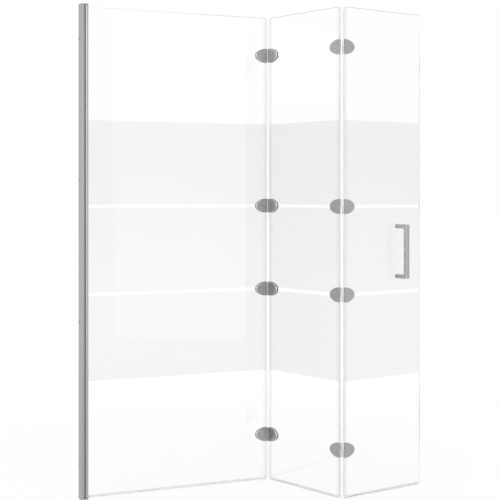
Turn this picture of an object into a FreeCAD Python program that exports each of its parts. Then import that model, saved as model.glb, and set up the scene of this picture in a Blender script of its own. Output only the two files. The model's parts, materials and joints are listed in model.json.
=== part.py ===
import FreeCAD, Part
import math
import os
import re
import Sketcher

# Folding shower screen of three glass panels, in millimetres.
# X runs out of the wall along the fixed panel, Y from the room side to the back, and Z up.
# The origin is on the wall face of the channel, in the middle of its width and at its foot.
# Every piece is drawn with the screen pulled flat, and then turned with the leaf that carries it.

SIZES = {
    # Whole screen
    "screen_width": (1200, "wall to free edge, pulled flat"),
    "channel_height": (1400, "height of the wall channel"),
    "fold_one_angle": (76, "degrees between fixed and middle panel at rest"),
    "fold_two_angle": (87.8, "degrees between middle and end panel at rest"),
    # Glass
    "glass_thickness": (5, "tempered glass"),
    "glass_bottom": (5, "foot of the channel to the lower glass edge"),
    "glass_top_drop": (8, "top of the channel to the upper glass edge"),
    "glass_start": (11, "wall to the hidden edge of the fixed glass"),
    "middle_glass_width": (300, "width of the middle glass"),
    "end_glass_width": (300, "width of the end glass"),
    "fold_gap": (4.5, "between two glass edges at a fold"),
    "glass_corner": (5, "corner radius"),
    "glass_arris": (0.5, "ground edge"),
    "glass_hole_radius": (6.25, "hole for a hinge fixing"),
    "glass_clear": (0.1, "glass to whatever grips it"),
    # Wall channel
    "channel_depth": (8.4, "reach from the wall"),
    "channel_width": (22, "across both walls"),
    "channel_web": (2, "back wall"),
    "channel_wall": (1.5, "side walls"),
    "wall_hole_radius": (2.75, "hole for a wall screw"),
    "wall_hole_end_inset": (100, "end of the channel to the next wall hole"),
    "wall_hole_inner_spacing": (400, "between the two middle wall holes"),
    # Adjusting profile
    "profile_clearance": (0.3, "slide gap to each channel wall"),
    "tail_start": (3, "wall to the free end of the tail walls"),
    "tail_wall": (1.5, "walls inside the channel"),
    "profile_web_place": (8, "wall to the web behind the glass"),
    "profile_web": (1.5, "web behind the glass"),
    "profile_wall": (1.7, "walls of the glass slot"),
    "shoulder": (0.3, "tail shown outside the channel"),
    "profile_groove": (6.6, "width of the shadow groove"),
    "profile_reach": (23, "wall to the mouth of the glass slot"),
    "lip_width": (20.4, "across the bead at the mouth"),
    "bead_radius": (3, "rounding of the bead"),
    # Glazing gaskets
    "glazing_thickness": (1.5, "gasket between glass and slot"),
    "glazing_start": (10.5, "wall to the hidden gasket edge"),
    "glazing_lip": (1, "gasket shown outside the slot"),
    "glazing_lip_rise": (0.8, "lip above the slot wall"),
    # End caps
    "cap_thickness": (4, "plate over the profile's end"),
    "cap_clearance": (0.1, "gap to channel and profile"),
    "cap_peg_depth": (12, "peg between the tail walls"),
    "cap_corner": (2, "outer corner radius"),
    # Locking screws
    "lock_screw_place": (5.2, "wall to the screw's axis"),
    "lock_screw_spacing": (550, "between two locking screws"),
    "lock_screw_radius": (1.75, "shank"),
    "lock_screw_clearance": (0.05, "gap around the shank"),
    "lock_head_radius": (3, "pan head"),
    "lock_head_height": (2.2, "pan head"),
    "lock_head_round": (0.8, "edge of the pan head"),
    "lock_screw_length": (4.5, "under the head"),
    "lock_socket_across": (2.5, "hexagon socket across flats"),
    "lock_socket_depth": (1.2, "hexagon socket"),
    # Seals on the folding edges
    "seal_wall": (1.2, "clear strip"),
    "seal_leg": (10, "grip on each glass face"),
    "seal_fin": (1.2, "thickness of the lip that bridges the gap"),
    "seal_fin_gap": (0.4, "lip to the other seal, pulled flat"),
    "seal_hinge_gap": (1, "seal to a hinge plate above or below"),
    "seal_drip_gap": (0.5, "edge seal to the grip of the drip seal"),
    # Drip seals under the panels
    "drip_leg": (5, "grip on each glass face"),
    "drip_tip": (1.5, "lip's lower edge above the foot of the channel"),
    "drip_splay": (1, "outward lean of each lip"),
    "drip_profile_gap": (0.5, "drip seal to the adjusting profile's gasket"),
    # Hinge plates
    "hinge_bottom_inset": (133, "lower glass edge to the lowest hinge"),
    "hinge_top_inset": (113, "upper glass edge to the highest hinge"),
    "hinge_middle_rise": (697, "lower glass edge to halfway between the two middle hinges"),
    "hinge_middle_spacing": (250, "between the two middle hinges"),
    "hinge_height": (42, "plate height"),
    "hinge_length": (39, "fold to the plate's nose"),
    "hinge_straight": (6, "straight stretch of the upper and lower edge"),
    "hinge_nose_radius": (14, "rounding of the nose"),
    "hinge_rim": (1.8, "rounded rim"),
    "hinge_gasket": (0.4, "gasket between plate and glass"),
    "gasket_inset": (1, "plate's outline to the gasket's"),
    "plate_thickness": (2.6, "hinge plate"),
    "cover_end_gap": (0.3, "fold to the flat end of a cover plate"),
    "leaf_end_gap": (2.5, "fold to the flat end of a leaf plate"),
    # Hinge knuckles
    "pivot_clear": (0.3, "pivot line in front of the plates"),
    "barrel_radius": (2.8, "knuckle"),
    "barrel_clearance": (0.4, "knuckle to the other leaf"),
    "barrel_inset": (1, "plate's upper and lower edge to the barrel's ends"),
    "neck_reach": (6.5, "fold to the root of the knuckle"),
    "knuckle_gap": (1, "between the two knuckles"),
    "washer_thickness": (0.9, "nylon washer between the knuckles"),
    "washer_inset": (0.3, "washer's edge inside the barrel's"),
    "pin_radius": (1.5, "hinge pin"),
    "pin_clearance": (0.05, "gap around the pin in the moving leaf"),
    "pin_chamfer": (0.3, "pin ends"),
    # Hinge fixings
    "fixing_offset": (20, "fold to the fixing screw"),
    "boss_radius": (5, "threaded boss through the glass"),
    "boss_stop": (0.5, "boss end to the far gasket's plane"),
    "boss_floor": (1.6, "plate left under the thread"),
    "sleeve_clearance": (0.1, "gap around the boss"),
    "sleeve_seat": (0.05, "gap between sleeve and glass"),
    "screw_radius": (2.5, "fixing screw"),
    "screw_clearance": (0.05, "gap around the shank"),
    "screw_head_radius": (4.6, "countersunk head"),
    "screw_tip_clear": (0.5, "screw end to the floor of the thread"),
    "socket_across": (3, "hexagon socket across flats"),
    "socket_depth": (1.8, "hexagon socket"),
    # Handle
    "handle_offset": (213.4, "second fold to the handle's middle"),
    "handle_rise": (690, "lower glass edge to the handle's middle"),
    "handle_length": (158, "over both posts"),
    "handle_section": (12, "square bar"),
    "handle_projection": (40, "glass to the front of the bar"),
    "handle_corner": (2.5, "outer corners of the bow"),
    "handle_edge": (0.8, "rounded long edges"),
    "handle_pad": (1, "clear pad on each glass face"),
    "handle_pad_radius": (6, "clear pad"),
    "handle_glass_hole": (5, "radius of the glass hole"),
    "rosette_radius": (6.5, "disc behind the glass"),
    "rosette_thickness": (2.5, "disc behind the glass"),
    "rosette_rim": (0.8, "rounded rim of the disc"),
    "handle_thread": (14, "screw in the post"),
    "handle_screw_head": (4.5, "countersunk head radius"),
    "handle_socket_across": (3, "hexagon socket across flats"),
    "handle_socket_depth": (1.6, "hexagon socket"),
}

PLACES = {
    "glass_half": "glass_thickness / 2",
    "grip_inside": "glass_half + glass_clear",
    "glass_top": "channel_height - glass_top_drop",
    "glass_middle": "(glass_bottom + glass_top) / 2",
    "fold_two_place": "screen_width - end_glass_width - fold_gap / 2",
    "fold_one_place": "fold_two_place - fold_gap - middle_glass_width",
    "channel_half": "channel_width / 2",
    "channel_inside": "channel_half - channel_wall",
    "channel_middle": "channel_height / 2",
    "tail_outside": "channel_inside - profile_clearance",
    "tail_inside": "tail_outside - tail_wall",
    "slot_half": "grip_inside + glazing_thickness",
    "slot_floor": "profile_web_place + profile_web",
    "shoulder_place": "channel_depth + shoulder",
    "groove_half": "slot_half + profile_wall",
    "groove_end": "shoulder_place + profile_groove",
    "lip_half": "lip_width / 2",
    "profile_length": "channel_height - 2 * cap_thickness",
    "seal_outside": "grip_inside + seal_wall",
    "edge_seal_bottom": "glass_bottom + drip_leg + seal_drip_gap",
    "hinge_half": "hinge_height / 2",
    "plate_inside": "grip_inside + hinge_gasket",
    "plate_outside": "plate_inside + plate_thickness",
    "pivot_offset": "plate_outside + pivot_clear",
    "barrel_half": "hinge_half - barrel_inset",
    "barrel_room": "barrel_radius + barrel_clearance",
    "nose_place": "hinge_length - hinge_nose_radius",
    "flank_rise": "pow(nose_place - hinge_straight; 2) + pow(hinge_half; 2) - pow(hinge_nose_radius; 2)",
    "flank_radius": "flank_rise / (2 * (hinge_half - hinge_nose_radius))",
    "flank_cosine": "(nose_place - hinge_straight) / (flank_radius - hinge_nose_radius)",
    "flank_sine": "(flank_radius - hinge_half) / (flank_radius - hinge_nose_radius)",
    "hinge_bottom_place": "glass_bottom + hinge_bottom_inset",
    "hinge_lower_place": "glass_bottom + hinge_middle_rise - hinge_middle_spacing / 2",
    "hinge_upper_place": "glass_bottom + hinge_middle_rise + hinge_middle_spacing / 2",
    "hinge_top_place": "glass_top - hinge_top_inset",
    "boss_length": "2 * plate_inside - boss_stop",
    "thread_length": "boss_length + plate_thickness - boss_floor",
    "screw_length": "2 * plate_outside - boss_floor - screw_tip_clear",
    "handle_root": "grip_inside + handle_pad",
    "handle_front": "glass_half + handle_projection",
    "handle_half": "handle_length / 2",
    "post_place": "handle_half - handle_section / 2",
    "rosette_face": "handle_root + rosette_thickness",
    "handle_screw_length": "rosette_face + handle_root + handle_thread",
    "handle_place": "fold_two_place + handle_offset",
    "handle_level": "glass_bottom + handle_rise",
}

TURNS = {
    "none": "rotation(vector(0; 0; 1); 0)",
    "about_x": "rotation(vector(1; 0; 0); 180)",
    "about_y": "rotation(vector(0; 1; 0); 180)",
    "about_z": "rotation(vector(0; 0; 1); 180)",
    "out_of_wall": "rotation(vector(0; 1; 0); 90)",
    "to_the_back": "rotation(vector(1; 0; 0); -90)",
}

HINGES = ("bottom", "lower", "upper", "top")
NEAR = 1e-6

doc = FreeCAD.newDocument("FoldingShowerScreen")
sheet = doc.addObject("Spreadsheet::Sheet", "Sizes")
for row, (name, (number, meaning)) in enumerate(SIZES.items(), 1):
    sheet.set(f"A{row}", meaning)
    sheet.set(f"B{row}", str(number))
    sheet.setAlias(f"B{row}", name)
doc.recompute()


def formula(words):
    """Point each plain size name in a formula at the sheet, and each worked-out place at its set."""
    def owner(match):
        name = match.group()
        if name in SIZES:
            return "Sizes." + name
        if name in PLACES:
            return "Places." + name
        return name
    return re.sub(r"[a-z_]+", owner, words)


def value(words):
    """The number that a formula gives now."""
    return float(sheet.evalExpression(formula(words)))


places = doc.addObject("App::VarSet", "Places")
for name, words in PLACES.items():
    places.addProperty("App::PropertyFloat", name, "Places")
    places.setExpression(name, formula(words))
    doc.recompute()


def moved(x="0", y="0", z="0", turn="none"):
    """A placement in words."""
    return f"placement(vector({x}; {y}; {z}); {TURNS[turn]})"


# Leaves

def leaf_frame(name, words):
    """The turn of one panel from the flat screen to its rest."""
    frame = doc.addObject("App::Placement", name)
    frame.setExpression("Placement", formula(words))
    doc.recompute()


def fold(pivot_x, pivot_y, angle):
    """A turn about an upright line."""
    there = f"placement(vector({pivot_x}; {pivot_y}; 0); rotation(vector(0; 0; 1); {angle}))"
    return f"{there} * {moved(f'-({pivot_x})', f'-({pivot_y})')}"


leaf_frame("FixedLeaf", moved())
leaf_frame("MiddleLeaf", fold("fold_one_place", "-pivot_offset", "-fold_one_angle"))
leaf_frame("EndLeaf", f"MiddleLeaf.Placement * {fold('fold_two_place', 'pivot_offset', 'fold_two_angle')}")

nodes = []


# Ways of shaping a piece

def new_body(label):
    """An empty body, which may hold several solids."""
    body = doc.addObject("PartDesign::Body", label)
    body.Label = label
    body.AllowCompound = True
    return body


def origin(body, role):
    """One of a body's own planes or axes."""
    return next(item for item in body.Origin.OriginFeatures if item.Role == role)


def arc_between(start, end, radius, turn):
    """The arc from start to end that turns left or right, by less than half a circle or by more."""
    chord = end - start
    height = math.sqrt(max(radius ** 2 - chord.Length ** 2 / 4, 0))
    side = 1 if turn in ("left", "right_most") else -1
    across = FreeCAD.Vector(-chord.y, chord.x, 0).normalize()
    centre = (start + end) * 0.5 + across * height * side
    first, last = (start, end) if turn.startswith("left") else (end, start)
    angles = [math.atan2(p.y - centre.y, p.x - centre.x) for p in (first, last)]
    if angles[1] < angles[0]:
        angles[1] += 2 * math.pi
    return Part.ArcOfCircle(Part.Circle(centre, FreeCAD.Vector(0, 0, 1), radius), *angles)


def outline(body, plane, corners, offset="0"):
    """A closed sketch on one of the body's planes, with every corner bound to the sizes.

    A corner is (x, y), or (x, y, radius, turn) where an arc leads on to the next corner.
    """
    sketch = body.newObject("Sketcher::SketchObject", "Outline")
    sketch.AttachmentSupport = [(origin(body, plane), "")]
    sketch.MapMode = "FlatFace"
    sketch.setExpression("AttachmentOffset.Base.z", formula(offset))
    points = [FreeCAD.Vector(value(across), value(along), 0) for across, along, *bend in corners]
    following = points[1:] + points[:1]
    for (across, along, *bend), start, end in zip(corners, points, following):
        if bend:
            radius, turn = bend
            sketch.addGeometry(arc_between(start, end, value(radius), turn))
        else:
            sketch.addGeometry(Part.LineSegment(start, end))

    def end_at(side, point):
        return 1 if sketch.getPoint(side, 1).distanceToPoint(point) < NEAR else 2

    def bind(name, words, *constraint):
        number = sketch.addConstraint(Sketcher.Constraint(*constraint, value(words)))
        sketch.renameConstraint(number, name)
        sketch.setExpression("Constraints." + name, formula(words))

    for side, ((across, along, *bend), start, end) in enumerate(zip(corners, points, following)):
        after = (side + 1) % len(corners)
        joint = (side, end_at(side, end), after, end_at(after, end))
        sketch.addConstraint(Sketcher.Constraint("Coincident", *joint))
        bind(f"across_{side}", across, "DistanceX", -1, 1, side, end_at(side, start))
        bind(f"along_{side}", along, "DistanceY", -1, 1, side, end_at(side, start))
        if bend:
            bind(f"radius_{side}", bend[0], "Radius", side)
    return sketch


def mirrored(corners):
    """The same run of corners on the other side of the sketch's first axis, walked backwards."""
    back = []
    for place in reversed(range(len(corners))):
        bend = corners[place - 1][2:] if place else ()
        back.append((corners[place][0], f"-({corners[place][1]})", *bend))
    return back


def box_corners(x_low, x_high, y_low, y_high):
    """Corners of a rectangle."""
    return [(x_low, y_low), (x_high, y_low), (x_high, y_high), (x_low, y_high)]


def pad(body, sketch, length, both_ways=False, backwards=False):
    """Pull a sketch out into a solid."""
    feature = body.newObject("PartDesign::Pad", "Pad")
    feature.Profile = sketch
    feature.setExpression("Length", formula(length))
    feature.Midplane = both_ways
    feature.Reversed = backwards
    return feature


def cut(body, sketch, depth, both_ways=True):
    """Cut a sketch out of a body, and make sure that it took material away."""
    doc.recompute()
    before = body.Shape.Volume
    feature = body.newObject("PartDesign::Pocket", "Pocket")
    feature.Profile = sketch
    feature.setExpression("Length", formula(depth))
    feature.Midplane = both_ways
    doc.recompute()
    if body.Shape.Volume >= before:
        raise ValueError("a pocket cut nothing from " + body.Label)
    return feature


def cylinder(body, kind, radius, length, where):
    """Add or take away a cylinder."""
    feature = body.newObject(f"PartDesign::{kind}Cylinder", "Cylinder")
    feature.setExpression("Radius", formula(radius))
    feature.setExpression("Height", formula(length))
    feature.setExpression("Placement", formula(where))
    return feature


def countersink(body, head_radius, hole_radius, where):
    """Take away the seat of a countersunk head, from the face inwards."""
    feature = body.newObject("PartDesign::SubtractiveCone", "Countersink")
    feature.setExpression("Radius1", formula(head_radius))
    feature.setExpression("Radius2", formula(hole_radius))
    feature.setExpression("Height", formula(f"{head_radius} - ({hole_radius})"))
    feature.setExpression("Placement", formula(where))
    return feature


def dress(body, kind, base, size, wanted):
    """Fillet or chamfer the edges that a test picks."""
    doc.recompute()
    picked = [f"Edge{n}" for n, edge in enumerate(base.Shape.Edges, 1) if wanted(edge)]
    feature = body.newObject("PartDesign::" + kind, kind)
    feature.Base = (base, picked)
    feature.setExpression("Radius" if kind == "Fillet" else "Size", formula(size))
    return feature


def lies_at(edge, axis, place):
    """Whether an edge lies in an upright or level plane."""
    return all(abs(getattr(vertex.Point, axis) - place) < NEAR for vertex in edge.Vertexes)


def place_node(body, leaf="FixedLeaf", where=None):
    """Set a finished body on its leaf and count it as a node."""
    body.setExpression("Placement", formula(f"{leaf}.Placement * {where or moved()}"))
    nodes.append(body)


def place_copies(label, piece, leaf, spots):
    """A node of one or more copies of a piece, each on its own spot of a leaf."""
    copies = []
    for number, where in enumerate(spots, 1):
        copy = doc.addObject("App::Link", f"{label}_{number}")
        copy.LinkedObject = piece
        copy.setExpression("Placement", formula(f"{leaf}.Placement * {where}"))
        copies.append(copy)
    group = doc.addObject("Part::Compound", label)
    group.Label = label
    group.Links = copies
    nodes.append(group)


def rounded_box(x_low, x_high, y_low, y_high, radius):
    """Corners of a rectangle with round corners."""
    return [
        (f"{x_low} + {radius}", y_low),
        (f"{x_high} - {radius}", y_low, radius, "left"),
        (x_high, f"{y_low} + {radius}"),
        (x_high, f"{y_high} - {radius}", radius, "left"),
        (f"{x_high} - {radius}", y_high),
        (f"{x_low} + {radius}", y_high, radius, "left"),
        (x_low, f"{y_high} - {radius}"),
        (x_low, f"{y_low} + {radius}", radius, "left"),
    ]


# Wall channel: a U of extruded aluminium, screwed to the wall through its web

def wall_channel():
    body = new_body("wall_channel")
    half = [
        ("0", "channel_half"),
        ("channel_depth", "channel_half"),
        ("channel_depth", "channel_inside"),
        ("channel_web", "channel_inside"),
    ]
    pad(body, outline(body, "XY_Plane", mirrored(half) + half), "channel_height")
    wall_levels = ["wall_hole_end_inset", "channel_height - wall_hole_end_inset"]
    wall_levels += [f"channel_middle {sign} wall_hole_inner_spacing / 2" for sign in "+-"]
    for level in wall_levels:
        where = moved(z=level, turn="out_of_wall")
        cylinder(body, "Subtractive", "wall_hole_radius", "channel_web", where)
    for level in lock_levels():
        where = moved("lock_screw_place", "channel_inside", level, "to_the_back")
        radius = "lock_screw_radius + lock_screw_clearance"
        cylinder(body, "Subtractive", radius, "channel_wall", where)
    place_node(body)


def lock_levels():
    """Heights of the locking screws."""
    return [f"channel_middle + lock_screw_spacing * {step}" for step in (-1, 0, 1)]


# Adjusting profile: slides in the channel to take up an uneven wall, and holds the fixed glass

def adjusting_profile():
    body = new_body("adjusting_profile")
    half = [
        ("profile_web_place", "tail_inside"),
        ("tail_start", "tail_inside"),
        ("tail_start", "tail_outside"),
        ("shoulder_place", "tail_outside"),
        ("shoulder_place", "groove_half"),
        ("groove_end", "groove_half"),
        ("groove_end", "lip_half - bead_radius", "bead_radius", "right"),
        ("groove_end + bead_radius", "lip_half"),
        ("profile_reach - bead_radius", "lip_half", "bead_radius", "right"),
        ("profile_reach", "lip_half - bead_radius"),
        ("profile_reach", "slot_half"),
        ("slot_floor", "slot_half"),
    ]
    section = outline(body, "XY_Plane", half + mirrored(half), "cap_thickness")
    pad(body, section, "profile_length")
    for level in lock_levels():
        where = moved("lock_screw_place", "tail_inside", level, "to_the_back")
        radius = "lock_screw_radius + lock_screw_clearance"
        cylinder(body, "Subtractive", radius, "tail_wall", where)
    place_node(body)


# Glazing gaskets: wedge the fixed glass in the slot, with a lip that covers the slot's wall

def glazing_gasket(label, turn):
    body = new_body(label)
    section = [
        ("glazing_start", "grip_inside"),
        ("profile_reach + glazing_lip", "grip_inside"),
        ("profile_reach + glazing_lip", "slot_half + glazing_lip_rise"),
        ("profile_reach", "slot_half + glazing_lip_rise"),
        ("profile_reach", "slot_half"),
        ("glazing_start", "slot_half"),
    ]
    low = "glass_bottom - glass_middle"
    pad(body, outline(body, "XY_Plane", section, low), "glass_top - glass_bottom")
    place_node(body, where=moved(z="glass_middle", turn=turn))


# End caps: plastic plugs that close both ends of the channel, with a peg between the tail walls

def profile_cap(label, where):
    body = new_body(label)
    inside = "channel_inside - cap_clearance"
    half = [
        ("channel_web + cap_clearance", inside),
        ("channel_depth + cap_clearance", inside),
        ("channel_depth + cap_clearance", "lip_half"),
        ("profile_reach - cap_corner", "lip_half", "cap_corner", "right"),
        ("profile_reach", "lip_half - cap_corner"),
    ]
    pad(body, outline(body, "XY_Plane", half + mirrored(half)), "cap_thickness")
    peg_half = "tail_inside - cap_clearance"
    peg = box_corners("tail_start", "profile_web_place - cap_clearance", f"-({peg_half})", peg_half)
    pad(body, outline(body, "XY_Plane", peg), "cap_thickness + cap_peg_depth")
    place_node(body, where=where)


# Screws: turned about their own axis, with the top of the head at their origin

def hexagon(across):
    """Corners of a hexagon socket."""
    reach = f"{across} / sqrt(3)"
    return [(f"{reach} * cos({60 * n})", f"{reach} * sin({60 * n})") for n in range(6)]


def turned_screw(label, half, across, depth):
    body = new_body(label)
    section = outline(body, "XZ_Plane", half)
    spin = body.newObject("PartDesign::Revolution", "Revolution")
    spin.Profile = section
    spin.ReferenceAxis = (section, ["V_Axis"])
    spin.Angle = 360
    cut(body, outline(body, "XY_Plane", hexagon(across)), depth, both_ways=False)
    return body


def countersunk_screw(label, radius, head_radius, length, across, depth):
    half = [
        ("0", f"-({length})"),
        (radius, f"-({length})"),
        (radius, f"{radius} - {head_radius}"),
        (head_radius, "0"),
        ("0", "0"),
    ]
    return turned_screw(label, half, across, depth)


def locking_screws():
    half = [
        ("0", "-lock_head_height - lock_screw_length"),
        ("lock_screw_radius", "-lock_head_height - lock_screw_length"),
        ("lock_screw_radius", "-lock_head_height"),
        ("lock_head_radius", "-lock_head_height"),
        ("lock_head_radius", "-lock_head_round", "lock_head_round", "left"),
        ("lock_head_radius - lock_head_round", "0"),
        ("0", "0"),
    ]
    screw = turned_screw("locking_screw", half, "lock_socket_across", "lock_socket_depth")
    face = "channel_half + lock_head_height"
    spots = [moved("lock_screw_place", face, level, "to_the_back") for level in lock_levels()]
    place_copies("locking_screws", screw, "FixedLeaf", spots)


# Glass panels: tempered, with round corners, ground edges and drilled fixing holes

def glass_panel(label, leaf, left, right, holes):
    body = new_body(label)
    corners = rounded_box(left, right, "glass_bottom", "glass_top", "glass_corner")
    plate = pad(body, outline(body, "XZ_Plane", corners), "glass_thickness", both_ways=True)
    half = value("glass_half")

    def on_face(edge):
        return lies_at(edge, "y", half) or lies_at(edge, "y", -half)

    dress(body, "Chamfer", plate, "glass_arris", on_face)
    for radius, place, level in holes:
        where = moved(place, "-glass_half", level, "to_the_back")
        cylinder(body, "Subtractive", radius, "glass_thickness", where)
    place_node(body, leaf)


def hinge_levels():
    return [f"hinge_{height}_place" for height in HINGES]


def hinge_holes(place):
    return [("glass_hole_radius", place, level) for level in hinge_levels()]


def glass_panels():
    before_one = hinge_holes("fold_one_place - fixing_offset")
    after_one = hinge_holes("fold_one_place + fixing_offset")
    before_two = hinge_holes("fold_two_place - fixing_offset")
    after_two = hinge_holes("fold_two_place + fixing_offset")
    levels = [f"handle_level {sign} post_place" for sign in "+-"]
    for_handle = [("handle_glass_hole", "handle_place", level) for level in levels]
    edges = [f"{fold_line} {sign} fold_gap / 2"
             for fold_line in ("fold_one_place", "fold_two_place") for sign in "-+"]
    glass_panel("fixed_glass", "FixedLeaf", "glass_start", edges[0], before_one)
    glass_panel("middle_glass", "MiddleLeaf", edges[1], edges[2], after_one + before_two)
    glass_panel("end_glass", "EndLeaf", edges[3], "screen_width", after_two + for_handle)


# Edge seals: clear strips that grip the glass at a fold and stop short of each hinge

def edge_seal(label, leaf, fold_line, turn, finned):
    body = new_body(label)
    edge = "-fold_gap / 2"
    face = f"{edge} + glass_clear + seal_wall"
    half = [
        (f"{edge} + glass_clear", "grip_inside"),
        (f"{edge} - seal_leg", "grip_inside"),
        (f"{edge} - seal_leg", "seal_outside"),
        (face, "seal_outside"),
    ]
    corners = half + mirrored(half)
    if finned:
        reach = "fold_gap / 2 - glass_clear - seal_wall - seal_fin_gap"
        fin = [
            (face, "seal_fin / 2"),
            (f"{reach} - seal_fin / 2", "seal_fin / 2", "seal_fin / 2", "right"),
        ]
        tip = (reach, "0", "seal_fin / 2", "right")
        corners = half + fin + [tip] + mirrored(fin) + mirrored(half)
    section = outline(body, "XY_Plane", corners, "edge_seal_bottom")
    pad(body, section, "glass_top - edge_seal_bottom")
    room = "hinge_half + seal_hinge_gap"
    for level in hinge_levels():
        low, high = f"{level} - ({room})", f"{level} + {room}"
        gap = box_corners(f"{edge} - 2 * seal_leg", "2 * fold_gap", low, high)
        cut(body, outline(body, "XZ_Plane", gap), "4 * seal_outside")
    place_node(body, leaf, moved(fold_line, turn=turn))


# Drip seals: clear strips under the panels, with two lips that lean outwards

def drip_seal(label, leaf, left, right):
    body = new_body(label)
    web = "glass_bottom - glass_clear - seal_wall"
    half = [
        ("grip_inside", "glass_bottom - glass_clear"),
        ("grip_inside", "glass_bottom + drip_leg"),
        ("seal_outside", "glass_bottom + drip_leg"),
        ("seal_outside", web),
        ("seal_outside + drip_splay", "drip_tip"),
        ("grip_inside + drip_splay", "drip_tip"),
        ("grip_inside", web),
    ]
    other = [(f"-({across})", up) for across, up in reversed(half)]
    pad(body, outline(body, "YZ_Plane", half + other, left), f"{right} - ({left})")
    place_node(body, leaf)


# Hinge plates: half an oval each, on both faces of the glass

def plate_corners(end_gap, inset):
    """Outline of a hinge half: flat end at the fold, two flanks and a round nose."""
    level = f"hinge_half - {inset}"
    reach = f"(flank_radius - {inset})"
    half = [
        (f"-({end_gap})", level),
        ("-hinge_straight", level, f"flank_radius - {inset}", "left"),
        (f"-hinge_straight - {reach} * flank_cosine",
         f"hinge_half - flank_radius + {reach} * flank_sine",
         f"hinge_nose_radius - {inset}", "left"),
    ]
    other = mirrored(half[:2] + [half[2][:2]])
    return half + other


def barrel_corners():
    """Outline of a knuckle: a neck that leaves the plate and a barrel round the pivot line."""
    lip = "sqrt(pow(barrel_radius; 2) - pow(pivot_clear; 2))"
    return [
        ("-neck_reach", "-plate_outside"),
        (f"-{lip}", "-plate_outside", "barrel_radius", "left_most"),
        ("0", "barrel_radius - pivot_offset"),
        ("-neck_reach", "barrel_radius - pivot_offset"),
    ]


def hinge_plate(label, fixing, pin_bore=None):
    """A hinge half on the room side, left of the fold, with its middle at the origin.

    With a bore for the pin it is a leaf with a knuckle, and without one it is a cover.
    """
    body = new_body(label)
    end_gap = "leaf_end_gap" if pin_bore else "cover_end_gap"
    corners = plate_corners(end_gap, "0")
    plate = pad(body, outline(body, "XZ_Plane", corners, "plate_inside"), "plate_thickness")
    face, end = -value("plate_outside"), -value(end_gap)

    def on_rim(edge):
        return lies_at(edge, "y", face) and not lies_at(edge, "x", end)

    dress(body, "Fillet", plate, "hinge_rim", on_rim)
    if pin_bore:
        knuckle(body, pin_bore)
    if fixing == "boss":
        root = moved("-fixing_offset", "-plate_inside", "0", "to_the_back")
        cylinder(body, "Additive", "boss_radius", "boss_length", root)
        thread = moved("-fixing_offset", "boss_floor - plate_outside", "0", "to_the_back")
        cylinder(body, "Subtractive", "screw_radius + screw_clearance", "thread_length", thread)
    else:
        through = moved("-fixing_offset", "-plate_outside", "0", "to_the_back")
        cylinder(body, "Subtractive", "screw_radius + screw_clearance", "plate_thickness", through)
        countersink(body, "screw_head_radius", "screw_radius + screw_clearance", through)
    doc.recompute()
    return body


def knuckle(body, pin_bore):
    """Make room for the other leaf's knuckle, then add this leaf's own above it and bore it for the pin."""
    pivot = moved("0", "-pivot_offset", "-hinge_half")
    cylinder(body, "Subtractive", "barrel_room", "hinge_height", pivot)
    section = outline(body, "XY_Plane", barrel_corners(), "knuckle_gap / 2")
    pad(body, section, "barrel_half - knuckle_gap / 2")
    cylinder(body, "Subtractive", pin_bore, "hinge_height", pivot)


def hinge_gasket():
    """A soft shoe round the glass edge, between the glass and both plates."""
    body = new_body("hinge_shoe")
    edge = "fold_gap / 2 - glass_clear"
    corners = plate_corners(f"{edge} - hinge_gasket", "gasket_inset")
    pad(body, outline(body, "XZ_Plane", corners), "2 * plate_inside", both_ways=True)
    slot = box_corners("-2 * hinge_length", f"-({edge})", "-grip_inside", "grip_inside")
    cut(body, outline(body, "XY_Plane", slot), "2 * hinge_height")
    where = moved("-fixing_offset", "-plate_inside", "0", "to_the_back")
    cylinder(body, "Subtractive", "boss_radius + sleeve_clearance", "2 * plate_inside", where)
    return body


def ring(label, outer, inner, length):
    """A washer or sleeve, standing on its origin."""
    body = new_body(label)
    cylinder(body, "Additive", outer, length, moved())
    cylinder(body, "Subtractive", inner, length, moved())
    return body


def hinge_pin():
    body = new_body("hinge_pin")
    rod = cylinder(body, "Additive", "pin_radius", "2 * barrel_half", moved(z="-barrel_half"))
    top = value("barrel_half")

    def at_end(edge):
        return lies_at(edge, "z", top) or lies_at(edge, "z", -top)

    dress(body, "Chamfer", rod, "pin_chamfer", at_end)
    return body


# The plate that is drawn is left of the fold on the room side; these turns give the other three.
# They set one leaf of every hinge upside down, so that its knuckle comes under the other's.
QUARTERS = {
    ("fixed", "front"): "none",
    ("moving", "front"): "about_y",
    ("fixed", "back"): "about_x",
    ("moving", "back"): "about_z",
}

# Each fold has its pivot line on the side that closes, so that the panels fold flat together
FOLDS = {
    "inner": ("fold_one_place", "front", {"fixed": "FixedLeaf", "moving": "MiddleLeaf"}),
    "outer": ("fold_two_place", "back", {"fixed": "MiddleLeaf", "moving": "EndLeaf"}),
}


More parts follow.
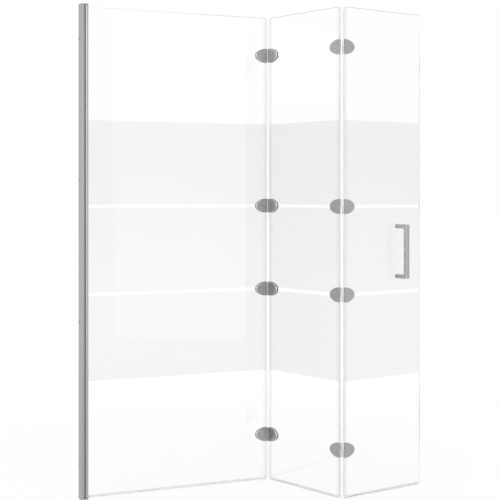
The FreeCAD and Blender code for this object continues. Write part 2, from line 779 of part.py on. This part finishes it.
def hinges():
    fixings = {"front": "boss", "back": "countersunk"}
    other_face = {"front": "back", "back": "front"}
    pin_bores = {"fixed": "pin_radius", "moving": "pin_radius + pin_clearance"}
    shoe = hinge_gasket()
    sleeve = ring("hinge_sleeve", "glass_hole_radius - sleeve_seat", "boss_radius + sleeve_clearance",
                  "glass_thickness")
    screw = countersunk_screw("hinge_screw", "screw_radius", "screw_head_radius", "screw_length",
                              "socket_across", "socket_depth")
    pin = hinge_pin()
    washer = ring("hinge_washer", "barrel_radius - washer_inset", "pin_radius + pin_clearance",
                  "washer_thickness")
    for fold_name, (line, pivot_face, leaves) in FOLDS.items():
        cover_face = other_face[pivot_face]
        cover = hinge_plate(f"{fold_name}_cover", fixings[cover_face])
        for side, leaf in leaves.items():
            plate = hinge_plate(f"{fold_name}_{side}_leaf", fixings[pivot_face], pin_bores[side])
            for height in HINGES:
                label = f"{fold_name}_{height}_hinge_{side}_leaf"
                spot = moved(line, "0", f"hinge_{height}_place", QUARTERS[side, pivot_face])
                place_copies(label, plate, leaf, [spot])
            spots = [moved(line, "0", level, QUARTERS[side, cover_face]) for level in hinge_levels()]
            place_copies(f"{fold_name}_{side}_covers", cover, leaf, spots)
            spots = [moved(line, "0", level, QUARTERS[side, "front"]) for level in hinge_levels()]
            place_copies(f"{fold_name}_{side}_gaskets", shoe, leaf, spots)
            fixing_place = f"{line} {'-' if side == 'fixed' else '+'} fixing_offset"
            spots = [moved(fixing_place, "-glass_half", level, "to_the_back") for level in hinge_levels()]
            place_copies(f"{fold_name}_{side}_sleeves", sleeve, leaf, spots)
            spots = [moved(fixing_place, "plate_outside", level, "to_the_back") for level in hinge_levels()]
            place_copies(f"{fold_name}_{side}_screws", screw, leaf, spots)
        pivot = "-pivot_offset" if pivot_face == "front" else "pivot_offset"
        spots = [moved(line, pivot, level) for level in hinge_levels()]
        place_copies(f"{fold_name}_hinge_pins", pin, leaves["fixed"], spots)
        spots = [moved(line, pivot, f"{level} - washer_thickness / 2") for level in hinge_levels()]
        place_copies(f"{fold_name}_hinge_washers", washer, leaves["fixed"], spots)


# Handle: a square bow on the room side of the end glass, bolted through to two discs behind it

def handle():
    levels = [f"handle_level {sign} post_place" for sign in "+-"]
    body = new_body("handle_bow")
    half = [
        ("-handle_root", "handle_half - handle_section"),
        ("-handle_root", "handle_half"),
        ("handle_corner - handle_front", "handle_half", "handle_corner", "left"),
        ("-handle_front", "handle_half - handle_corner"),
    ]
    inner = ("handle_section - handle_front", "handle_half - handle_section")
    corners = [inner] + half + mirrored(half) + mirrored([inner])
    bow = pad(body, outline(body, "YZ_Plane", corners), "handle_section", both_ways=True)
    side = value("handle_section / 2")
    root = -value("handle_root")

    def on_long_edge(edge):
        on_side = lies_at(edge, "x", side) or lies_at(edge, "x", -side)
        return on_side and not lies_at(edge, "y", root)

    dress(body, "Fillet", bow, "handle_edge", on_long_edge)
    for sign in "+-":
        where = moved("0", "-handle_root - handle_thread", f"{sign}post_place", "to_the_back")
        cylinder(body, "Subtractive", "screw_radius + screw_clearance", "handle_thread", where)
    place_node(body, "EndLeaf", moved("handle_place", "0", "handle_level"))

    pad_ring = ring("handle_pad_ring", "handle_pad_radius", "screw_radius + screw_clearance", "handle_pad")
    faces = ("-handle_root", "grip_inside")
    spots = [moved("handle_place", face, level, "to_the_back") for face in faces for level in levels]
    place_copies("handle_pads", pad_ring, "EndLeaf", spots)

    disc = new_body("handle_rosette")
    blank = cylinder(disc, "Additive", "rosette_radius", "rosette_thickness", moved())
    top = value("rosette_thickness")
    dress(disc, "Fillet", blank, "rosette_rim", lambda edge: lies_at(edge, "z", top))
    hole = "screw_radius + screw_clearance"
    cylinder(disc, "Subtractive", hole, "rosette_thickness", moved())
    countersink(disc, "handle_screw_head", hole, moved(z="rosette_thickness", turn="about_x"))
    spots = [moved("handle_place", "handle_root", level, "to_the_back") for level in levels]
    place_copies("handle_rosettes", disc, "EndLeaf", spots)

    screw = countersunk_screw("handle_screw", "screw_radius", "handle_screw_head", "handle_screw_length",
                              "handle_socket_across", "handle_socket_depth")
    spots = [moved("handle_place", "rosette_face", level, "to_the_back") for level in levels]
    place_copies("handle_screws", screw, "EndLeaf", spots)


# The screen, in the order in which it is put together

wall_channel()
adjusting_profile()
glazing_gasket("glazing_gasket_front", "about_x")
glazing_gasket("glazing_gasket_back", "none")
profile_cap("profile_bottom_cap", moved())
profile_cap("profile_top_cap", moved(z="channel_height", turn="about_x"))
locking_screws()
glass_panels()
edge_seal("fixed_edge_seal", "FixedLeaf", "fold_one_place", "none", finned=False)
edge_seal("middle_inner_edge_seal", "MiddleLeaf", "fold_one_place", "about_z", finned=True)
edge_seal("middle_outer_edge_seal", "MiddleLeaf", "fold_two_place", "none", finned=False)
edge_seal("end_edge_seal", "EndLeaf", "fold_two_place", "about_z", finned=True)
gap_half = "fold_gap / 2"
drip_start = "profile_reach + glazing_lip + drip_profile_gap"
drip_seal("fixed_drip_seal", "FixedLeaf", drip_start, f"fold_one_place - {gap_half}")
drip_seal("middle_drip_seal", "MiddleLeaf", f"fold_one_place + {gap_half}", f"fold_two_place - {gap_half}")
drip_seal("end_drip_seal", "EndLeaf", f"fold_two_place + {gap_half}", "screen_width")
hinges()
handle()
doc.recompute()

# Every object has to be sound before anything is written

for item in doc.Objects:
    if "Invalid" in item.State or "Error" in item.State:
        raise ValueError(f"{item.Label} failed: {item.State}")
for node in nodes:
    if node.Shape.isNull() or not node.Shape.isValid() or not node.Shape.Solids:
        raise ValueError(f"{node.Label} has no sound shape")

os.makedirs("parts", exist_ok=True)
for node in nodes:
    node.Shape.exportStep(f"parts/{node.Label}.step")
print(len(nodes), "nodes,", sum(len(node.Shape.Solids) for node in nodes), "solids")
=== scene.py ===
# Folding bath screen of three glass panels: finishes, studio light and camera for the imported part.
import json
import math

import bpy
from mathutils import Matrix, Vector


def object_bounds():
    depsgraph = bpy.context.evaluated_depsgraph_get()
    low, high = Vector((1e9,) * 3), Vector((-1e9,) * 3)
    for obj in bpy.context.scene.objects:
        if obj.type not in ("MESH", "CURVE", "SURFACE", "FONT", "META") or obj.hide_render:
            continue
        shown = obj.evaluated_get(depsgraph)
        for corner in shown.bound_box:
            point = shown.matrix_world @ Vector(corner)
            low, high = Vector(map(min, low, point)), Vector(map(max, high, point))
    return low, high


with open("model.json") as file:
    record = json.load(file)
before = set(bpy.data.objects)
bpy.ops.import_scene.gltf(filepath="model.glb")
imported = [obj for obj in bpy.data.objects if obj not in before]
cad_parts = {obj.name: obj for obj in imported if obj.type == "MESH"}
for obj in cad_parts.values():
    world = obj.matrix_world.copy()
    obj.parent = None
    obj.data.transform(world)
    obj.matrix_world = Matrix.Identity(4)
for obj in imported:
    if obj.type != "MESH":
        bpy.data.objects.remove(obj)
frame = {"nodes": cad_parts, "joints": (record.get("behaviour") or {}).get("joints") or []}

cad_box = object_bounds()


# Wall channel: a U of anodised aluminium that is screwed to the wall and carries the whole screen.
# It is extruded, so faint die lines run along its full height.
aluminium_grey = (0.43, 0.43, 0.44)
aluminium_shade = (0.37, 0.37, 0.38)
aluminium_roughness = (0.28, 0.42)
die_lines = (900.0, 900.0, 1.5)
die_line_depth = 0.00002
usual_detail = 3.0
noise_low = 0.3
noise_high = 0.7


def fill(tree, sockets, fillings):
    """Gives each input a plain value or a link from another node's output."""
    for key, filling in fillings.items():
        if isinstance(filling, bpy.types.NodeSocket):
            tree.links.new(filling, sockets[key])
        else:
            sockets[key].default_value = filling


def add(tree, kind, fillings, **options):
    """Adds one shader node with its options and inputs set."""
    node = tree.nodes.new("ShaderNode" + kind)
    for option, choice in options.items():
        setattr(node, option, choice)
    fill(tree, node.inputs, fillings)
    return node


def set_shader(finish, fillings):
    """Fills inputs of a finish's own shader."""
    fill(finish.node_tree, finish.node_tree.nodes["Principled BSDF"].inputs, fillings)


def even_finish(name, colour, roughness, metallic=0.0):
    """A material that is the same all over, until patterns are linked in."""
    finish = bpy.data.materials.new(name)
    finish.use_nodes = True
    set_shader(finish, {"Base Color": (*colour, 1.0), "Roughness": roughness, "Metallic": metallic})
    return finish


def grain(tree, cycles, detail):
    """Noise on the piece's own coordinates, with so many cycles per metre along X, Y and Z."""
    place = add(tree, "TexCoord", {}).outputs["Object"]
    stretched = add(tree, "Mapping", {"Vector": place, "Scale": cycles}).outputs["Vector"]
    return add(tree, "TexNoise", {"Vector": stretched, "Scale": 1.0, "Detail": detail}).outputs["Fac"]


def between(tree, pattern, low, high):
    """A number that follows a noise pattern from low to high."""
    spread = {"From Min": noise_low, "From Max": noise_high, "To Min": low, "To Max": high}
    return add(tree, "MapRange", {"Value": pattern, **spread}).outputs["Result"]


def tinted(tree, share, dark, light):
    """A colour that goes from dark to light with a share from 0 to 1."""
    colours = {"Color1": (*dark, 1.0), "Color2": (*light, 1.0)}
    return add(tree, "MixRGB", {"Fac": share, **colours}).outputs["Color"]


def relief(tree, pattern, depth):
    """A surface normal raised by a pattern, depth in metres."""
    return add(tree, "Bump", {"Height": pattern, "Distance": depth, "Strength": 1.0}).outputs["Normal"]


def grained_finish(name, light, shade, roughness, cycles, detail=usual_detail, metallic=0.0, depth=0.0):
    """A material whose colour, roughness and relief follow one grain."""
    low, high = roughness
    finish = even_finish(name, light, (low + high) / 2, metallic)
    tree = finish.node_tree
    pattern = grain(tree, cycles, detail)
    set_shader(finish, {
        "Base Color": tinted(tree, between(tree, pattern, 0.0, 1.0), shade, light),
        "Roughness": between(tree, pattern, low, high),
    })
    if depth:
        set_shader(finish, {"Normal": relief(tree, pattern, depth)})
    return finish


def dress(finish, *names):
    """Gives CAD nodes a finish in place of the plain colour that they were packed with."""
    for name in names:
        slots = frame["nodes"][name].data.materials
        slots.clear()
        slots.append(finish)


def drawn_aluminium(name):
    """Anodised aluminium with the lines of the die that it was drawn through."""
    return grained_finish(name, aluminium_grey, aluminium_shade, aluminium_roughness, die_lines,
                          metallic=1.0, depth=die_line_depth)


dress(drawn_aluminium("channel_aluminium"), "wall_channel")


# Adjusting profile: a second aluminium extrusion that slides in the channel to take up a wall out of true.
# Its bead is anodised; its nose carries a painted highlight, and its sliding leg and shadow groove are
# painted darker, as painted shade.
groove_end = 0.0153
nose_end = 0.0178
# The groove and leg colour is painted shade, and the nose colour is a painted highlight.
groove_painted_shade = (0.24, 0.24, 0.245)
nose_painted_highlight = (0.55, 0.55, 0.55)
from_wall = (1.0, 0.0, 0.0)


def reckon(tree, operation, first, second):
    """One step of arithmetic on plain values or on outputs of other nodes."""
    return add(tree, "Math", {0: first, 1: second}, operation=operation).outputs["Value"]


def dot(tree, vector, direction):
    """The part of a vector that lies along a direction."""
    return add(tree, "VectorMath", {0: vector, 1: direction}, operation="DOT_PRODUCT").outputs["Value"]


def distance_along(tree, direction):
    """How far a point of the piece lies along a direction from the origin."""
    return dot(tree, add(tree, "TexCoord", {}).outputs["Object"], direction)


def overlay(finish, share, colour):
    """Lays a colour over a finish's patterned colour where share is 1."""
    tree = finish.node_tree
    under = tree.nodes["Principled BSDF"].inputs["Base Color"].links[0].from_socket
    layers = {"Fac": share, "Color1": under, "Color2": (*colour, 1.0)}
    set_shader(finish, {"Base Color": add(tree, "MixRGB", layers).outputs["Color"]})


slide_aluminium = drawn_aluminium("slide_aluminium")
tree = slide_aluminium.node_tree
reach = distance_along(tree, from_wall)
# Painted highlight on the nose, then painted shade from the wall to the groove's end.
for end, colour in ((nose_end, nose_painted_highlight), (groove_end, groove_painted_shade)):
    overlay(slide_aluminium, reckon(tree, "LESS_THAN", reach, end), colour)
dress(slide_aluminium, "adjusting_profile")


# Glazing gaskets: two rubber strips pushed in beside the glass, one on each face.
# They are grey, matt and a little uneven from the extruder.
rubber_grey = (0.22, 0.22, 0.23)
rubber_shade = (0.17, 0.17, 0.175)
rubber_roughness = (0.6, 0.8)
rubber_skin = (700.0, 700.0, 60.0)
rubber_depth = 0.00003
glazing_rubber = grained_finish("glazing_rubber", rubber_grey, rubber_shade, rubber_roughness, rubber_skin,
                                depth=rubber_depth)
dress(glazing_rubber, "glazing_gasket_front", "glazing_gasket_back")


# Profile caps: moulded plastic plugs that close the two ends of the wall profile.
# The tool for them was spark eroded, which leaves a fine even grain.
cap_grey = (0.30, 0.30, 0.31)
cap_shade = (0.26, 0.26, 0.27)
cap_roughness = (0.42, 0.58)
spark_grain = (2200.0, 2200.0, 2200.0)
spark_depth = 0.00004
fine_detail = 2.0
cap_plastic = grained_finish("cap_plastic", cap_grey, cap_shade, cap_roughness, spark_grain,
                             detail=fine_detail, depth=spark_depth)
dress(cap_plastic, "profile_bottom_cap", "profile_top_cap")


# Locking screws: turned stainless steel, driven through the channel's side into the adjusting profile.
# Turning leaves rings on the heads, finer than can be seen one by one, so the steel is brushed and bright.
steel_grey = (0.52, 0.52, 0.51)
steel_shade = (0.42, 0.42, 0.41)
steel_roughness = (0.2, 0.36)
turning_marks = (1500.0, 1500.0, 1500.0)
turned_steel = grained_finish("turned_steel", steel_grey, steel_shade, steel_roughness, turning_marks,
                              metallic=1.0)
dress(turned_steel, "locking_screws")


# Glass panels: 5 mm tempered float glass, cut, ground at the edges and drilled before it was toughened.
# The back face carries three frosted bands with two clear stripes between them, level with the inner hinges.
# The ground edges look milky from outside and let light out from inside.
clear_colour = (0.985, 0.99, 0.988)
clear_roughness = 0.0
frost_colour = (0.815, 0.815, 0.82)
frost_roughness = (0.24, 0.32)
frost_grain = (1800.0, 1800.0, 1800.0)
frost_bands = 3
frost_low = 0.332
frost_band = 0.240
clear_stripe = 0.010
frost_high = frost_low + frost_bands * frost_band + (frost_bands - 1) * clear_stripe
edge_colour = (0.975, 0.985, 0.98)
edge_haze = 0.97
edge_roughness = 0.03
face_depth = 0.0001
glass_index = 1.5
from_floor = (0.0, 0.0, 1.0)


def along_panel(turn):
    """The direction away from the wall along a panel that is turned so far."""
    return Vector((math.cos(turn), math.sin(turn), 0.0))


def behind_panel(turn):
    """The direction that the back face of a turned panel looks in."""
    return Vector((-math.sin(turn), math.cos(turn), 0.0))


def at_band_height(tree):
    """1 at the heights of the frosted bands, else 0."""
    height = distance_along(tree, from_floor)
    above_foot = reckon(tree, "GREATER_THAN", height, frost_low)
    under_top = reckon(tree, "LESS_THAN", height, frost_high)
    in_field = reckon(tree, "MULTIPLY", above_foot, under_top)
    step = reckon(tree, "MODULO", reckon(tree, "SUBTRACT", height, frost_low), frost_band + clear_stripe)
    return reckon(tree, "MULTIPLY", in_field, reckon(tree, "LESS_THAN", step, frost_band))


def screen_glass(node, back):
    """Glass for one panel: back is the direction that the frosted face looks in."""
    depths = [corner.co.dot(back) for corner in frame["nodes"][node].data.vertices]
    glass = even_finish(node + "_finish", clear_colour, clear_roughness)
    tree = glass.node_tree
    depth = distance_along(tree, back)
    on_back = reckon(tree, "GREATER_THAN", depth, max(depths) - face_depth)
    on_front = reckon(tree, "LESS_THAN", depth, min(depths) + face_depth)
    on_edge = reckon(tree, "SUBTRACT", 1.0, reckon(tree, "ADD", on_back, on_front))
    frosted = reckon(tree, "MULTIPLY", on_back, at_band_height(tree))
    etch = between(tree, grain(tree, frost_grain, fine_detail), *frost_roughness)
    etched = reckon(tree, "MULTIPLY", frosted, etch)
    ground = reckon(tree, "MULTIPLY", on_edge, edge_roughness)
    from_outside = reckon(tree, "SUBTRACT", 1.0, add(tree, "NewGeometry", {}).outputs["Backfacing"])
    haze = reckon(tree, "MULTIPLY", reckon(tree, "MULTIPLY", on_edge, from_outside), edge_haze)
    set_shader(glass, {
        "Base Color": tinted(tree, frosted, clear_colour, frost_colour),
        "Roughness": reckon(tree, "ADD", etched, ground),
        "Transmission Weight": reckon(tree, "SUBTRACT", 1.0, haze),
        "IOR": glass_index,
    })
    overlay(glass, on_edge, edge_colour)
    dress(glass, node)


panel_turns = [0.0]
for joint in frame["joints"]:
    panel_turns.append(panel_turns[-1] - math.radians(joint["range_deg"][0]) * joint["axis"][2])
for turn, node in zip(panel_turns, ("fixed_glass", "middle_glass", "end_glass")):
    screen_glass(node, behind_panel(turn))


# Edge seals: clear soft plastic extrusions pressed on the folding edges, in lengths between the hinges.
# They are water white with a slight haze, and streaked along their length.
seal_colour = (0.975, 0.975, 0.975)
seal_shade = (0.955, 0.955, 0.957)
seal_roughness = (0.18, 0.32)
seal_clearness = 1.0
seal_index = 1.08
upright_streaks = (500.0, 500.0, 8.0)


def soft_seal(name, light, shade, clearness, streaks):
    """Soft plastic with the streaks of its extruder, so many per metre along X, Y and Z."""
    plastic = grained_finish(name, light, shade, seal_roughness, streaks)
    set_shader(plastic, {"Transmission Weight": clearness, "IOR": seal_index})
    return plastic


clear_seal = soft_seal("clear_seal", seal_colour, seal_shade, seal_clearness, upright_streaks)
dress(clear_seal, "fixed_edge_seal", "middle_inner_edge_seal", "middle_outer_edge_seal", "end_edge_seal")


# Drip seals: soft plastic strips clipped under the three panels, with two lips that lean outwards.
# They are a milkier grade than the edge seals, streaked along their own length.
drip_colour = (0.985, 0.985, 0.985)
drip_shade = (0.965, 0.965, 0.967)
drip_clearness = 0.90
level_streaks = (8.0, 8.0, 500.0)
drip_plastic = soft_seal("drip_plastic", drip_colour, drip_shade, drip_clearness, level_streaks)
dress(drip_plastic, "fixed_drip_seal", "middle_drip_seal", "end_drip_seal")


# Hinges: die-cast halves clamped on both faces of the glass, satin chromed with a soft cloudiness.
# The faces of a leaf that look into the fold are painted light against the shade in the fold gap, brightest
# on the outer fold.
# The far end of a leaf carries a painted glint on its rim where that faces out of the plate.
chrome_grey = (0.40, 0.40, 0.405)
chrome_shade = (0.385, 0.385, 0.39)
chrome_roughness = (0.26, 0.32)
chrome_clouds = (70.0, 70.0, 70.0)
cloud_detail = 1.0
satin_grain = (1600.0, 1600.0, 1600.0)
satin_depth = 0.000001
# Painted light on the knuckle faces in the fold gap, per fold.
fold_painted_light = {"inner": (0.50, 0.50, 0.50), "outer": (0.92, 0.92, 0.92)}
painted_light_reach = 0.0066
painted_light_depth = 0.0005
# Painted glint on the rim at a leaf's far end.
painted_glint_colour = (0.75, 0.75, 0.75)
glint_outward = 0.25
glint_upward = 0.35
glass_behind_pin = {"inner": 1, "outer": -1}
hinge_levels = ("bottom", "lower", "upper", "top")
hinge_halves = ("inner_fixed", "inner_moving", "outer_fixed", "outer_moving")


def satin_chrome(name, light, shade):
    """Satin chrome with soft clouds and the fine grain of its blasting."""
    chrome = grained_finish(name, light, shade, chrome_roughness, chrome_clouds,
                            detail=cloud_detail, metallic=1.0)
    tree = chrome.node_tree
    set_shader(chrome, {"Normal": relief(tree, grain(tree, satin_grain, fine_detail), satin_depth)})
    return chrome


def looking_along(tree, direction):
    """How squarely the surface looks along a direction, from -1 to 1."""
    return dot(tree, add(tree, "TexCoord", {}).outputs["Normal"], direction)


def leaf_chrome(name, painted_fold_colour, pin_place, into_panel, into_glass):
    """Satin chrome with a painted glint on the far end's rim and painted light on the knuckle faces in the
    fold; the directions lead away from the pin.
    """
    chrome = satin_chrome(name, chrome_grey, chrome_shade)
    tree = chrome.node_tree
    knuckle_end = pin_place.dot(into_panel) + painted_light_reach
    knuckle_front = pin_place.dot(into_glass) + painted_light_depth
    past_knuckle = reckon(tree, "GREATER_THAN", distance_along(tree, into_panel), knuckle_end)
    outward = reckon(tree, "GREATER_THAN", looking_along(tree, into_panel), glint_outward)
    upward = reckon(tree, "LESS_THAN", looking_along(tree, into_glass), -glint_upward)
    rounded = reckon(tree, "MULTIPLY", outward, upward)
    # Painted glint on the rim at the far end.
    overlay(chrome, reckon(tree, "MULTIPLY", past_knuckle, rounded), painted_glint_colour)
    at_knuckle = reckon(tree, "SUBTRACT", 1.0, past_knuckle)
    inside = reckon(tree, "GREATER_THAN", distance_along(tree, into_glass), knuckle_front)
    # Painted light on the knuckle faces that look into the fold.
    overlay(chrome, reckon(tree, "MULTIPLY", at_knuckle, inside), painted_fold_colour)
    return chrome


for number, fold in enumerate(("inner", "outer")):
    pin_place = Vector(frame["joints"][number]["pos_m"])
    for half, turn, way in (("fixed", panel_turns[number], -1), ("moving", panel_turns[number + 1], 1)):
        into_panel = along_panel(turn) * way
        into_glass = behind_panel(turn) * glass_behind_pin[fold]
        name = f"{fold}_{half}_chrome"
        leaves = leaf_chrome(name, fold_painted_light[fold], pin_place, into_panel, into_glass)
        dress(leaves, *[f"{fold}_{level}_hinge_{half}_leaf" for level in hinge_levels])
cover_chrome = satin_chrome("cover_chrome", chrome_grey, chrome_shade)
dress(cover_chrome, *[half + "_covers" for half in hinge_halves])


# Hinge gaskets: soft shoes round the glass under every hinge half, so that metal never touches glass.
# They are moulded from a milky white plastic that lets a little light through.
shoe_colour = (0.95, 0.95, 0.95)
shoe_shade = (0.90, 0.90, 0.90)
shoe_roughness = (0.4, 0.6)
shoe_skin = (600.0, 600.0, 600.0)
shoe_clearness = 0.15
shoe_plastic = grained_finish("shoe_plastic", shoe_colour, shoe_shade, shoe_roughness, shoe_skin)
set_shader(shoe_plastic, {"Transmission Weight": shoe_clearness})
dress(shoe_plastic, *[half + "_gaskets" for half in hinge_halves])


# Hinge sleeves and washers: turned from natural nylon, with the fine marks of the tool.
# The sleeves sit round the screws in the glass holes, and the washers lie between the knuckles.
nylon_white = (0.80, 0.80, 0.78)
nylon_shade = (0.72, 0.72, 0.69)
nylon_roughness = (0.38, 0.55)
nylon_skin = (900.0, 900.0, 900.0)
natural_nylon = grained_finish("natural_nylon", nylon_white, nylon_shade, nylon_roughness, nylon_skin)
dress(natural_nylon, *[half + "_sleeves" for half in hinge_halves])
dress(natural_nylon, "inner_hinge_washers", "outer_hinge_washers")


# Hinge screws and pins: the same turned stainless steel as the locking screws.
# The screws are countersunk in the back plates, and the pins are pressed through the knuckles.
dress(turned_steel, *[half + "_screws" for half in hinge_halves])
dress(turned_steel, "inner_hinge_pins", "outer_hinge_pins")


# Handle: a square bow of satin chromed bar, held through the glass by two screws, with painted light on its
# sides and painted shade on its front.
# Clear pads lie between metal and glass, and two rosettes take the screws at the back.
# Painted light on the handle's sides; painted shade on its front.
handle_side_painted_light = (0.61, 0.61, 0.61)
handle_cloud_painted_light = (0.59, 0.59, 0.592)
handle_front_painted_shade = (0.40, 0.40, 0.40)
front_facing = 0.95
handle_chrome = satin_chrome("handle_chrome", handle_side_painted_light, handle_cloud_painted_light)
tree = handle_chrome.node_tree
to_room = looking_along(tree, -behind_panel(panel_turns[-1]))
# Painted shade: the front faces are laid darker than the sides.
overlay(handle_chrome, reckon(tree, "GREATER_THAN", to_room, front_facing), handle_front_painted_shade)
dress(handle_chrome, "handle_bow", "handle_rosettes")
dress(clear_seal, "handle_pads")
dress(turned_steel, "handle_screws")


# Studio: a white floor that runs into a white surround, lit by a soft key, a fill and a side light.
# The floor and the surround show white to the camera and in reflections, and light the screen gently.
# The fill and the side light aren't seen through glass, so that the frost isn't burnt out from behind.
white = (1.0, 1.0, 1.0, 1.0)
surround_light = 0.65
floor_white = (0.9, 0.9, 0.9)
floor_roughness = 0.9
floor_white_level = 1.045
floor_glow = 0.85
floor_fade_start = 0.8
floor_fade_end = 3.0
floor_half = 30.0
floor_drop = 0.0005
screen_centre = (cad_box[0] + cad_box[1]) / 2


def seen_directly(tree):
    """1 for what the camera sees straight, mirrored or through glass, else 0."""
    light = add(tree, "LightPath", {}).outputs
    mirrored = reckon(tree, "MAXIMUM", light["Is Camera Ray"], light["Is Glossy Ray"])
    return reckon(tree, "MAXIMUM", mirrored, light["Is Transmission Ray"])


def softbox(name, place, width, height, power, through_glass):
    """A rectangular lamp that faces the middle of the screen."""
    lamp = bpy.data.lights.new(name, "AREA")
    lamp.shape = "RECTANGLE"
    lamp.size = width
    lamp.size_y = height
    lamp.energy = power
    box = bpy.data.objects.new(name, lamp)
    box.location = place
    box.rotation_euler = (screen_centre - Vector(place)).to_track_quat("-Z", "Y").to_euler()
    box.visible_camera = False
    box.visible_transmission = through_glass
    bpy.context.scene.collection.objects.link(box)


world = bpy.data.worlds.new("white_surround")
world.use_nodes = True
bpy.context.scene.world = world
tree = world.node_tree
brightness = {"Value": seen_directly(tree), "To Min": surround_light, "To Max": 1.0}
fill(tree, tree.nodes["Background"].inputs, {
    "Color": white,
    "Strength": add(tree, "MapRange", brightness).outputs["Result"],
})

floor_corners = [(x * floor_half, y * floor_half, cad_box[0].z - floor_drop)
                 for x, y in ((-1, -1), (1, -1), (1, 1), (-1, 1))]
floor_mesh = bpy.data.meshes.new("studio_floor")
floor_mesh.from_pydata(floor_corners, [], [(0, 1, 2, 3)])
floor = bpy.data.objects.new("studio_floor", floor_mesh)
bpy.context.scene.collection.objects.link(floor)
floor_paint = even_finish("floor_paint", floor_white, floor_roughness)
tree = floor_paint.node_tree
glow = add(tree, "Emission", {"Color": white, "Strength": floor_white_level})
away = add(tree, "VectorMath", {0: add(tree, "TexCoord", {}).outputs["Object"]}, operation="LENGTH")
fade = {"From Min": floor_fade_start, "From Max": floor_fade_end, "To Min": floor_glow, "To Max": 1.0}
fade["Value"] = away.outputs["Value"]
share = add(tree, "MapRange", fade, interpolation_type="SMOOTHSTEP").outputs["Result"]
mixed = add(tree, "MixShader", {
    "Fac": reckon(tree, "MULTIPLY", seen_directly(tree), share),
    1: tree.nodes["Principled BSDF"].outputs["BSDF"],
    2: glow.outputs["Emission"],
})
fill(tree, tree.nodes["Material Output"].inputs, {"Surface": mixed.outputs["Shader"]})
floor_mesh.materials.append(floor_paint)

softbox("key_light", place=(-2.4, -3.0, 2.9), width=3.2, height=3.2, power=45.0, through_glass=True)
softbox("fill_light", place=(2.1, -3.2, 1.0), width=1.6, height=2.2, power=7.0, through_glass=False)
softbox("side_light", place=(-3.3, -1.1, 1.1), width=1.2, height=2.4, power=24.0, through_glass=False)


# Camera: level, at chest height and left of the screen, as fitted to the panel edges in the photograph.
# Its long lens is shifted, so that uprights stay upright and the screen is framed as in the photograph.
camera_place = (-1.11099, -3.33325, 0.86657)
camera_pitch = math.radians(90.0)
camera_heading = math.radians(-24.087)
camera_lens = 89.126
camera_sensor = 36.0
camera_shift = (0.09545, -0.11497)
lens = bpy.data.cameras.new("photo_camera")
lens.lens = camera_lens
lens.sensor_width = camera_sensor
lens.shift_x, lens.shift_y = camera_shift
camera = bpy.data.objects.new("photo_camera", lens)
camera.location = camera_place
camera.rotation_euler = (camera_pitch, 0.0, camera_heading)
bpy.context.scene.collection.objects.link(camera)
bpy.context.scene.camera = camera
bpy.context.scene.view_settings.view_transform = "Standard"
